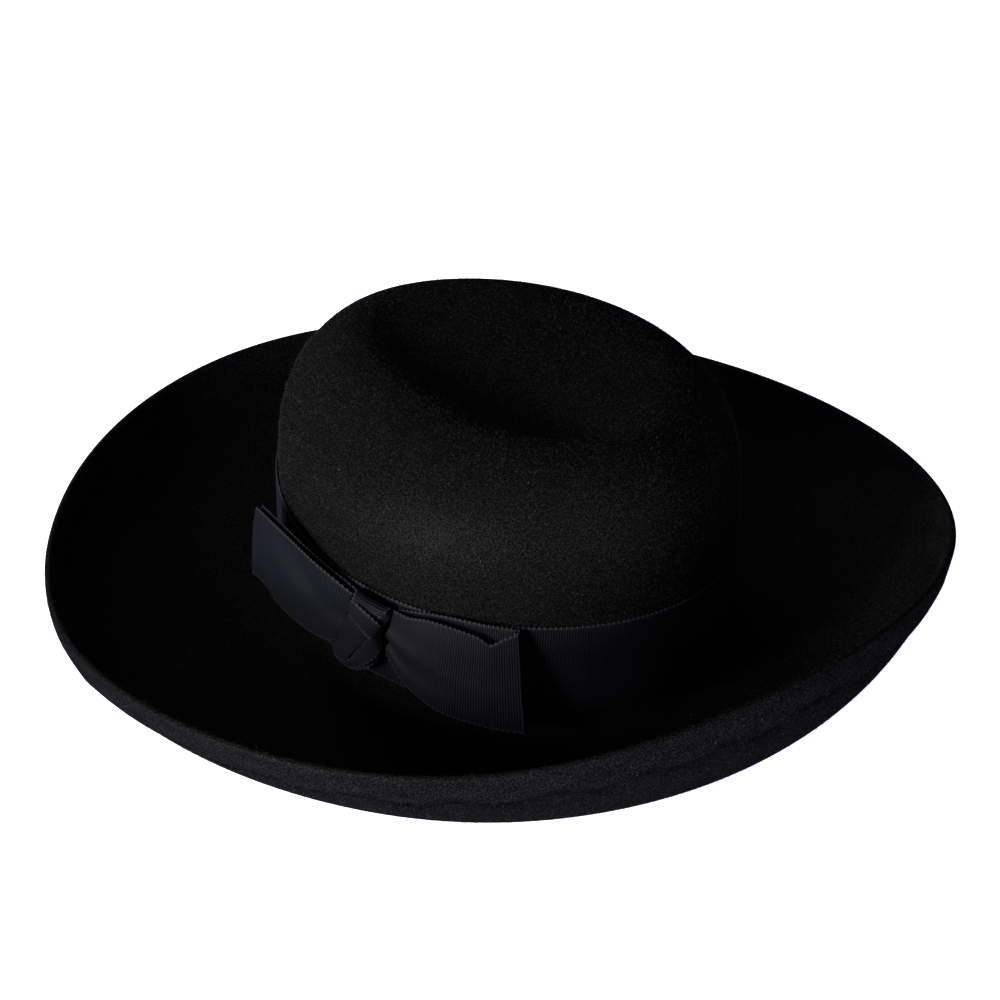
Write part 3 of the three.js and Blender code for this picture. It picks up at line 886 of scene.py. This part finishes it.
def felt_material():
    """Black felt: dark wool with lighter flecks, clouds of tone, a soft gloss, and painted highlights and
    shade along the turned edge
    """
    material, nodes, links = new_material("Black wool felt")
    shader = nodes["Principled BSDF"]
    place = nodes.new("ShaderNodeTexCoord").outputs["Object"]
    grain = speckle_node(nodes, links, place, FELT_GRAIN, FELT_GRAIN_RANGE)
    cloud = speckle_node(nodes, links, place, FELT_CLOUD, FELT_CLOUD_RANGE)
    fleck = calculate(nodes, links, "POWER", grain, FELT_FLECK_POWER)
    wool = mix_colours(nodes, links, fleck, FELT_DARK, FELT_LIGHT)
    clouded = mix_colours(nodes, links, cloud, wool, FELT_CLOUD_TONE, blend="MULTIPLY")
    # Painted highlights and shade along the turned edge scale the wool's colour
    tone = calculate(nodes, links, "ADD", attribute_value(nodes, "Welt painted shading"), 1)
    welt_shaded_colour = nodes.new("ShaderNodeVectorMath")
    welt_shaded_colour.operation = "SCALE"
    links.new(clouded, welt_shaded_colour.inputs[0])
    links.new(tone, welt_shaded_colour.inputs["Scale"])
    links.new(welt_shaded_colour.outputs["Vector"], shader.inputs["Base Color"])
    fibre_bump(nodes, links, shader, grain, **FELT_BUMP)
    facing_gloss(nodes, links, shader, FELT_GLOSS, grain)
    shader.inputs["Coat Roughness"].default_value = FELT_GLOSS_ROUGHNESS
    shader.inputs["Roughness"].default_value = FELT_ROUGHNESS
    shader.inputs["Specular IOR Level"].default_value = 0
    return material


def fibre_material(name, dark, light):
    """Loose wool fibres, each a little lighter or darker than the next"""
    material, nodes, links = new_material(name)
    shader = nodes["Principled BSDF"]
    place = nodes.new("ShaderNodeTexCoord").outputs["Object"]
    speckle = speckle_node(nodes, links, place, FELT_GRAIN, FIBRE_RANGE)
    links.new(mix_colours(nodes, links, speckle, dark, light), shader.inputs["Base Color"])
    shader.inputs["Roughness"].default_value = FIBRE_ROUGHNESS
    shader.inputs["Specular IOR Level"].default_value = 0
    return material


def ribbon_material():
    """Blue-black ribbon: uneven threads, painted shade in the valleys between its cords and painted
    highlights on its woven edges and picots
    """
    material, nodes, links = new_material("Blue-black grosgrain")
    shader = nodes["Principled BSDF"]
    weave = nodes.new("ShaderNodeUVMap")
    weave.uv_map = "Weave"
    stretch = nodes.new("ShaderNodeMapping")
    stretch.inputs["Scale"].default_value = THREAD_STRETCH
    links.new(weave.outputs["UV"], stretch.inputs["Vector"])
    threads = speckle_node(nodes, links, stretch.outputs["Vector"], THREAD_FINENESS, THREAD_RANGE)
    cloth = mix_colours(nodes, links, threads, RIBBON_DARK, RIBBON_LIGHT)
    # Painted shade darkens the valleys between the cords
    ribbed = mix_colours(nodes, links, attribute_value(nodes, "Cord shading"), RIBBON_VALLEY_SHADE, cloth)
    # Painted highlight along the woven edges, brightest on the picot tops
    selvedge_highlighted = mix_colours(nodes, links, attribute_value(nodes, "Selvedge highlight"), ribbed, SELVEDGE_HIGHLIGHT_COLOUR)
    links.new(selvedge_highlighted, shader.inputs["Base Color"])
    fibre_bump(nodes, links, shader, threads, **RIBBON_BUMP)
    facing_gloss(nodes, links, shader, RIBBON_GLOSS, threads)
    shader.inputs["Coat Roughness"].default_value = RIBBON_GLOSS_ROUGHNESS
    shader.inputs["Roughness"].default_value = RIBBON_ROUGHNESS
    shader.inputs["Specular IOR Level"].default_value = 0
    return material


def floor_material():
    """Plain pale floor that glows: full to the camera, graded across the floor to everything else"""
    material, nodes, links = new_material("Pale floor")
    shader = nodes["Principled BSDF"]
    shader.inputs["Base Color"].default_value = (*FLOOR_COLOUR, 1)
    shader.inputs["Roughness"].default_value = FLOOR_ROUGHNESS
    shader.inputs["Specular IOR Level"].default_value = 0
    shader.inputs["Emission Color"].default_value = (*FLOOR_GLOW, 1)
    place = nodes.new("ShaderNodeTexCoord").outputs["Object"]
    across = nodes.new("ShaderNodeVectorMath")
    across.operation = "DOT_PRODUCT"
    across.inputs[1].default_value = FLOOR_FADE
    links.new(place, across.inputs[0])
    glow = nodes.new("ShaderNodeMapRange")
    glow.inputs["From Min"].default_value, glow.inputs["To Min"].default_value = FLOOR_NEAR
    glow.inputs["From Max"].default_value, glow.inputs["To Max"].default_value = FLOOR_FAR
    links.new(across.outputs["Value"], glow.inputs["Value"])
    seen = nodes.new("ShaderNodeMix")
    seen.inputs["B"].default_value = 1
    links.new(nodes.new("ShaderNodeLightPath").outputs["Is Camera Ray"], seen.inputs["Factor"])
    links.new(glow.outputs["Result"], seen.inputs["A"])
    links.new(seen.outputs["Result"], shader.inputs["Emission Strength"])
    return material


# Camera, light and floor

def towards(azimuth, elevation):
    """A direction out from the hat. Azimuth 0 is in front of the hat and 90 on the wearer's left."""
    a, e = math.radians(azimuth), math.radians(elevation)
    return Vector((math.sin(a) * math.cos(e), -math.cos(a) * math.cos(e), math.sin(e)))


def camera_axes():
    """The point that the camera looks at, and its directions to the right, up and back"""
    azimuth, roll = math.radians(CAMERA_AZIMUTH), math.radians(CAMERA_ROLL)
    back = towards(CAMERA_AZIMUTH, CAMERA_ELEVATION)
    right = Vector((math.cos(azimuth), math.sin(azimuth), 0))
    up = back.cross(right)
    turned_right = right * math.cos(roll) + up * math.sin(roll)
    turned_up = up * math.cos(roll) - right * math.sin(roll)
    aim = (CROWN_MIDDLE + Vector((0, 0, AIM_HEIGHT)) + right * AIM_RIGHT + up * AIM_UP) * MM
    return aim, turned_right, turned_up, back


def add_camera():
    aim, right, up, back = camera_axes()
    data = bpy.data.cameras.new("Camera")
    data.sensor_width = SENSOR_WIDTH
    data.lens = FOCAL_PIXELS * SENSOR_WIDTH / PHOTO_SIDE
    camera = bpy.data.objects.new("Camera", data)
    bpy.context.scene.collection.objects.link(camera)
    turn = Matrix((right, up, back)).transposed().to_4x4()
    camera.matrix_world = Matrix.Translation(aim + back * CAMERA_DISTANCE) @ turn
    bpy.context.scene.camera = camera


def soft_light(name, azimuth, elevation, distance, size, power):
    """A square soft box that faces the hat"""
    place = towards(azimuth, elevation)
    data = bpy.data.lights.new(name, "AREA")
    data.shape = "SQUARE"
    data.size = size
    data.energy = power
    light = bpy.data.objects.new(name, data)
    bpy.context.scene.collection.objects.link(light)
    light.location = Vector(LAMP_AIM) + place * distance
    light.rotation_euler = place.to_track_quat("Z", "Y").to_euler()


def add_floor():
    clear_selection()
    bpy.ops.mesh.primitive_plane_add(size=FLOOR_SIZE, location=(0, 0, -FLOOR_DROP))
    floor = bpy.context.active_object
    floor.name = "studio_floor"
    floor.data.materials.append(floor_material())


def add_world():
    """Plain white to the camera, and dim to everything else"""
    world = bpy.data.worlds.new("Studio")
    bpy.context.scene.world = world
    world.use_nodes = True
    nodes, links = world.node_tree.nodes, world.node_tree.links
    dim = nodes["Background"]
    dim.inputs["Color"].default_value = (*WHITE, 1)
    dim.inputs["Strength"].default_value = WORLD_DIM
    seen = nodes.new("ShaderNodeBackground")
    seen.inputs["Color"].default_value = (*WHITE, 1)
    path = nodes.new("ShaderNodeLightPath")
    mix = nodes.new("ShaderNodeMixShader")
    links.new(path.outputs["Is Camera Ray"], mix.inputs[0])
    links.new(dim.outputs[0], mix.inputs[1])
    links.new(seen.outputs[0], mix.inputs[2])
    links.new(mix.outputs[0], nodes["World Output"].inputs["Surface"])


# Putting it together

def finish_piece(piece, material, node):
    """Material of a piece, and the solid that it stands for"""
    piece.data.materials.append(material)
    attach(piece, "root")
    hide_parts(node)


def finish_hairs(piece, material):
    """Material of loose fibres, which stand for no solid"""
    piece.data.materials.append(material)
    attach(piece, "root")


bpy.context.scene.view_settings.view_transform = "Standard"
add_camera()
add_floor()
add_world()
for lamp in LAMPS:
    soft_light(*lamp)

felt_finish = felt_material()
ribbon_finish = ribbon_material()
# The loose hairs' lighter colour is painted sheen of fibres catching the light
hair_sheen_finish = fibre_material("Loose wool hairs with painted sheen", HAIR_DARK, HAIR_SHEEN_LIGHT)
lint_finish = fibre_material("Pale lint", LINT_DARK, LINT_LIGHT)

felt = felt_skin()
finish_piece(felt, felt_finish, "felt_body")

band = ribbon_strip("ribbon_band", band_sections(), RIBBON_WIDTH, closed=True)
finish_piece(band, ribbon_finish, "hat_band")

front_sections = loop_sections(FRONT_OUTER, FRONT_INNER, 1)
front_loop = ribbon_strip("bow_front_ribbon", front_sections, LOOP_WIDTH, creases=FRONT_CREASES, outward=-1)
finish_piece(front_loop, ribbon_finish, "bow_loop_front")

back_sections = loop_sections(BACK_OUTER, BACK_INNER, -1)
back_loop = ribbon_strip("bow_back_ribbon", back_sections, LOOP_WIDTH, creases=BACK_CREASES)
finish_piece(back_loop, ribbon_finish, "bow_loop_back")

knot = join_strips("bow_knot_ribbon", KNOT_STRIPS)
finish_piece(knot, ribbon_finish, "bow_knot")

tuck = join_strips("bow_tuck_ribbon", TUCK_STRIPS)
finish_piece(tuck, ribbon_finish, "bow_tuck")

crown_faces, brim_faces = nap_faces(felt.data)
crown_nap = felt_hairs("felt_nap_crown", felt.data, crown_faces, CROWN_HAIRS, CROWN_SEED)
finish_hairs(crown_nap, hair_sheen_finish)
brim_nap = felt_hairs("felt_nap_brim", felt.data, brim_faces, BRIM_HAIRS, BRIM_SEED)
finish_hairs(brim_nap, hair_sheen_finish)

lint = stray_lint(felt)
finish_hairs(lint, lint_finish)
